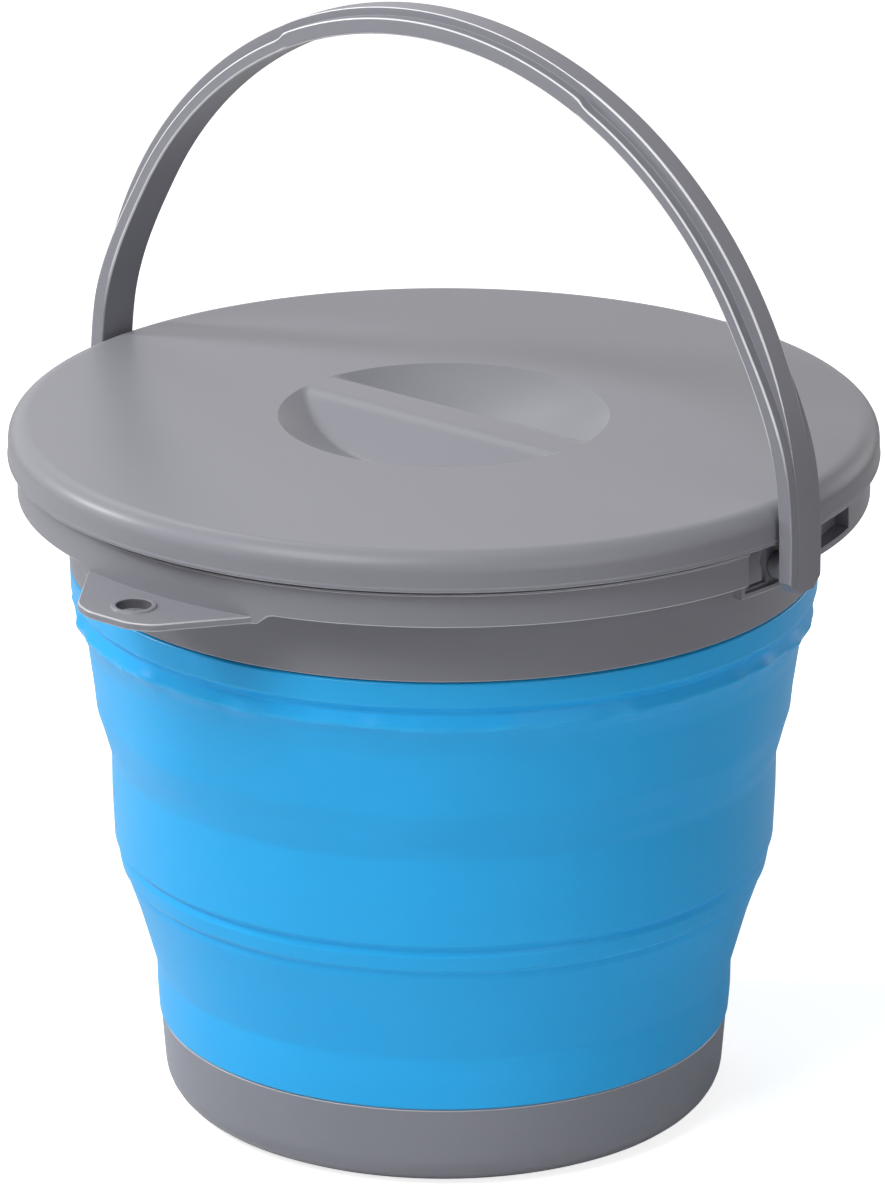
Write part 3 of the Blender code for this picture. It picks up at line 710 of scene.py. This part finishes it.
bail = {
    "outer": 0.1611,
    "centre": 0.2401,
    "foot": 0.2245,
    "halfWidth": 0.0086,
    "ribHalfWidth": 0.0045,
    "ribHeight": 0.0046,
    "strap": 0.0044,
    "legThickness": 0.0058,
    "padRelief": 0.00025,  # what is left of the rib on the legs
    "fadeStart": 0.0330,  # above the pivot, where the rib begins to rise
    "fadeLength": 0.0550,
    "ribBend": 0.0007,
    "rootBend": 0.0004,
    "strapBend": 0.0006,
    "innerBend": 0.0008,
    "gripHalfLength": 0.0680,
    "gripExtra": 0.0014,
    "gripStep": 0.0025,
    "shade": 0.98,
    "paintedHighlightShare": 0.8,
    "edgeFoot": 0.2600,
    "edgeFade": 0.0300,
    "edgeLeast": 0.15,
    "chamfer": 0.0042,
    "chamferSteps": 6,
    "footBevel": 0.0007,
    "footSteps": 3,
    "legStep": 0.002,
    "legSteps": 4,
    "steps": 180,
    "smooth": 40,
    "studSteps": 48,
    "stud": [
        (0.0, 158.5, 0.0), (4.9, 158.5, 0.0), (4.9, 148.1, 0.3), (4.0, 148.1, 0.0), (4.0, 145.4, 0.0),
        (4.9, 145.4, 0.2), (3.1, 143.3, 0.2), (0.0, 143.3, 0.0),
    ],
}


def bailPoint(point):  # the rib fades into the legs, the grip's ledge steps out, and the foot narrows
    arch = point.z > bail["centre"]
    centre = bail["centre"] if arch else point.z
    out = Vector((point.x, 0, point.z - centre))
    depth = bail["outer"] - out.length
    out.normalize()
    rib = bail["ribHeight"]
    rise = centre + bail["outer"] * out.z - pivot[2]
    share = easeStep((rise - bail["fadeStart"]) / bail["fadeLength"])
    newRib = bail["padRelief"] + (rib - bail["padRelief"]) * share
    newStrap = bail["legThickness"] - bail["padRelief"]
    newStrap += (bail["strap"] - newStrap) * share
    if arch:
        grip = easeStep((bail["gripHalfLength"] + bail["gripStep"] / 2 - abs(point.x)) / bail["gripStep"])
        newStrap += bail["gripExtra"] * grip
        newRib -= bail["gripExtra"] * grip
    if depth < rib:
        newDepth = newRib * depth / rib
    else:
        newDepth = newRib + newStrap * (depth - rib) / bail["strap"]
    moved = Vector((0, point.y, centre)) + out * (bail["outer"] - newDepth)
    left = (point.z - bail["foot"]) / bail["chamfer"]
    if left < 1:
        most = bail["halfWidth"] - bail["chamfer"] * (1 - left)
        moved.y = max(-most, min(most, moved.y))
    return moved


def makeBail():
    whole = bail["ribHeight"] + bail["strap"]
    hat = [
        (0.0, bail["ribHalfWidth"], bail["ribBend"]),
        (bail["ribHeight"], bail["ribHalfWidth"], bail["rootBend"]),
        (bail["ribHeight"], bail["halfWidth"], bail["strapBend"]),
        (whole, bail["halfWidth"], bail["innerBend"]),
    ]
    hat += [(depth, -y, bend) for depth, y, bend in reversed(hat)]
    places = [(bail["outer"] - depth, y, bail["centre"]) for depth, y, bend in hat]
    piece = drawOutline("bailArch", places, [bend for depth, y, bend in hat])
    pickAll()
    bpy.ops.mesh.spin(steps=bail["steps"], angle=math.pi, center=(0, 0, bail["centre"]), axis=(0, 1, 0))
    closeMesh()
    for side in (1, -1):
        fall = bail["centre"] - bail["foot"]
        drops = [bail["legStep"]] * bail["legSteps"]
        drops += [fall - bail["legSteps"] * bail["legStep"] - bail["chamfer"]]
        drops += [bail["chamfer"] / bail["chamferSteps"]] * bail["chamferSteps"]
        pick("verts", lambda vert: side * vert.co.x > 0 and vert.co.z < bail["centre"] + craft["same"])
        for drop in drops:
            bpy.ops.mesh.extrude_region_move(TRANSFORM_OT_translate={"value": (0, 0, -drop)})
        bpy.ops.mesh.edge_face_add()
    closeMesh()
    bpy.ops.object.mode_set(mode="OBJECT")
    movePoints(piece, bailPoint)
    bpy.ops.object.mode_set(mode="EDIT")
    if pick("edges", lambda edge: all(vert.co.z < bail["foot"] + 2 * craft["same"] for vert in edge.verts)):
        bpy.ops.mesh.bevel(offset=bail["footBevel"], segments=bail["footSteps"],
                           affect="EDGES", clamp_overlap=True)
    bpy.ops.object.mode_set(mode="OBJECT")
    for side in (1, -1):
        stud = turnPiece("bailStud", bail["stud"], bail["studSteps"], closed=False, centre=pivot, side=side)
        cutWith(piece, stud, "UNION")
    return piece


bailPiece = makeBail()
shadeSmooth(bailPiece, bail["smooth"])
markEdges(bailPiece)
# the painted edge highlight and the smoother edge finish fade out down the legs
for point, mark in zip(bailPiece.data.vertices, bailPiece.data.attributes["edge"].data):
    share = easeStep((point.co.z - bail["edgeFoot"]) / bail["edgeFade"])
    mark.value *= bail["edgeLeast"] + (1 - bail["edgeLeast"]) * share
bailParts = {**greyPlastic, "paintedHighlightShare": bail["paintedHighlightShare"]}
bailPiece.data.materials.append(plastic("bailGrey", bailParts, bail["shade"]))
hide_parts("bail_handle")
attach(bailPiece, "handle")
print("bail: arch, legs, feet and studs")


# Floor, light and camera

studio = {
    "floorSize": 14.0,
    "floorShade": (0.80, 0.80, 0.80, 1.0),
    "floorRough": 0.9,
    "floorGlow": 0.78,
    "surround": 0.04,
    "backdrop": 1.0,
    "lampTarget": (0, 0, 0.2),
    "lamps": [
        {"name": "keyLamp", "power": 20.0, "size": 0.9, "distance": 1.6, "azimuth": 0.0, "height": 50.0},
        {"name": "sideLamp", "power": 6.4, "size": 0.2, "distance": 1.2, "azimuth": -62.0, "height": 28.0},
        {"name": "backLamp", "power": 5.5, "size": 0.8, "distance": 2.4, "azimuth": -118.0, "height": 45.0},
        {"name": "topLamp", "power": 4.0, "size": 1.3, "distance": 2.0, "azimuth": 0.0, "height": 85.0},
        {"name": "fillLamp", "power": 8.8, "size": 1.3, "distance": 2.4, "azimuth": 75.0, "height": 14.0},
        {"name": "rearLamp", "power": 7.0, "size": 1.2, "distance": 2.4, "azimuth": 168.0, "height": 12.0},
    ],
}
white = (1.0, 1.0, 1.0, 1.0)

deselectAll()
bpy.ops.mesh.primitive_plane_add(size=studio["floorSize"])
floor = bpy.context.object
floor.name = "floor"
floorFinish = Finish(bpy.data.materials.new("floorPale"))
pale = floorFinish.add("ShaderNodeBsdfPrincipled", None, {
    "Base Color": studio["floorShade"], "Roughness": studio["floorRough"]})
glow = floorFinish.add("ShaderNodeEmission", None, {"Color": white, "Strength": studio["floorGlow"]})
lit = floorFinish.add("ShaderNodeAddShader", None, {0: pale, 1: glow})
seen = floorFinish.add("ShaderNodeMixShader", None, {0: floorFinish.rayIs("Is Camera Ray"), 1: pale, 2: lit})
floorFinish.add("ShaderNodeOutputMaterial", None, {"Surface": seen})
floor.data.materials.append(floorFinish.owner)

scene = bpy.context.scene
scene.world = bpy.data.worlds.new("studio")
surround = Finish(scene.world)
soft = surround.add("ShaderNodeBackground", None, {"Color": white, "Strength": studio["surround"]})
backdrop = surround.add("ShaderNodeBackground", None, {"Color": white, "Strength": studio["backdrop"]})
shown = surround.rayIs("Is Camera Ray") | surround.rayIs("Is Glossy Ray")
shown = shown | surround.rayIs("Is Transmission Ray")
mixed = surround.add("ShaderNodeMixShader", None, {0: shown, 1: soft, 2: backdrop})
surround.add("ShaderNodeOutputWorld", None, {"Surface": mixed})


def direction(azimuth, height):  # azimuth 0 is in front, at -Y, and plus is to the right
    turn = math.radians(azimuth)
    lift = math.radians(height)
    return Vector((math.sin(turn) * math.cos(lift), -math.cos(turn) * math.cos(lift), math.sin(lift)))


def addToScene(name, data, away, distance, target):  # looks at the target from a distance
    thing = bpy.data.objects.new(name, data)
    scene.collection.objects.link(thing)
    thing.location = Vector(target) + distance * away
    thing.rotation_euler = (-away).to_track_quat("-Z", "Y").to_euler()
    return thing


for lamp in studio["lamps"]:
    data = bpy.data.lights.new(lamp["name"], "AREA")
    data.energy = lamp["power"]
    data.size = lamp["size"]
    addToScene(lamp["name"], data, direction(lamp["azimuth"], lamp["height"]),
               lamp["distance"], studio["lampTarget"])

view = {
    "azimuth": 39.8,
    "elevation": 19.58,
    "distance": 2.7609,
    "target": (-0.0003, -0.0004, 0.18455),
    "lens": 232.86,
    "sensor": 36.0,
}

cameraData = bpy.data.cameras.new("camera")
cameraData.sensor_width = view["sensor"]
cameraData.lens = view["lens"]
scene.camera = addToScene("camera", cameraData, direction(view["azimuth"], view["elevation"]),
                          view["distance"], view["target"])
scene.view_settings.view_transform = "Standard"
print("studio: floor, lamps and camera")
